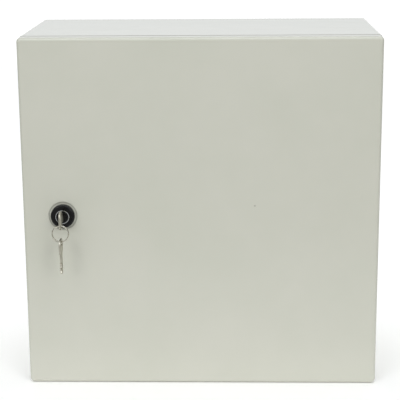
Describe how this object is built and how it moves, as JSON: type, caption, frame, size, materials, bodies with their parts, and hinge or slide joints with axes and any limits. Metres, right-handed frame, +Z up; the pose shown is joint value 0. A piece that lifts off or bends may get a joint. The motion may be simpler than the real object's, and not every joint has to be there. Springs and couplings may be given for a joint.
{
  "type": "steel wall enclosure",
  "caption": "Square painted steel wall enclosure with a hinged door, keyed cam lock, hanging spare key, mounting plate and bottom gland plate.",
  "frame": {"origin": "on the wall plane, in the middle of the rear face and of the wall-hole pattern", "axes": "+X to the right and +Z up as seen from the front, +Y into the wall; the door faces -Y"},
  "size_m": [0.4, 0.2354, 0.4],
  "materials": {
    "paint": "semi-gloss powder coat",
    "galvanised": "spangled zinc",
    "zinc": "bright zinc plate",
    "foam": "foamed polyurethane skin",
    "rubber": "matt sheet rubber",
    "black_casting": "satin black",
    "chrome": "polished",
    "brass": "stamped",
    "nickel": "bright nickel plate"
  },
  "bodies": {
    "enclosure": {"body_wrap": "paint", "rear_panel": "paint", "mounting_plate": "galvanised", "plate_studs": "zinc", "plate_spacers": "zinc", "plate_washers": "zinc", "plate_nuts": "zinc", "gland_gasket": "rubber", "gland_plate": "galvanised", "gland_studs": "zinc", "gland_nuts": "zinc", "body_earth_stud": "zinc", "body_earth_washer": "zinc", "body_earth_nut": "zinc", "lower_hinge_bracket": "zinc", "upper_hinge_bracket": "zinc", "bracket_screws": "zinc", "bracket_nuts": "zinc"},
    "door": {"door_panel": "paint", "door_gasket": "foam", "lower_hinge_lugs": "zinc", "upper_hinge_lugs": "zinc", "lower_hinge_pin": "zinc", "upper_hinge_pin": "zinc", "hinge_pin_clips": "zinc", "door_earth_stud": "zinc", "door_earth_washer": "zinc", "door_earth_nut": "zinc", "lock_housing": "black_casting", "lock_gasket": "rubber", "lock_nut": "zinc", "plug_bezel": "chrome"},
    "lock_rotor": {"lock_plug": "black_casting", "lock_wafers": "brass", "lock_cam": "zinc", "cam_washer": "zinc", "cam_screw": "zinc"},
    "inserted_key": {"lock_key": "nickel"},
    "ring": {"key_ring": "nickel"},
    "hanging_key": {"spare_key": "nickel"}
  },
  "joints": [
    {"name": "door_hinge", "type": "hinge", "parent": "enclosure", "child": "door", "pos_m": [0.1945, -0.1935, 0], "axis": [0, 0, 1], "range_deg": [0, 120]},
    {"name": "lock_turn", "type": "hinge", "parent": "door", "child": "lock_rotor", "pos_m": [-0.155, -0.2, 0], "axis": [0, 1, 0], "range_deg": [0, 90]},
    {"name": "key_pull", "type": "slide", "parent": "lock_rotor", "child": "inserted_key", "axis": [0, -1, 0], "range_m": [0, 0.03]},
    {"name": "ring_swing", "type": "hinge", "parent": "inserted_key", "child": "ring", "pos_m": [-0.155, -0.2254, -0.0069], "axis": [0, 1, 0], "range_deg": [-70, 70]},
    {"name": "spare_key_swing", "type": "hinge", "parent": "ring", "child": "hanging_key", "pos_m": [-0.155, -0.2254, -0.02335], "axis": [1, 0, 0], "range_deg": [-35, 20]}
  ]
}
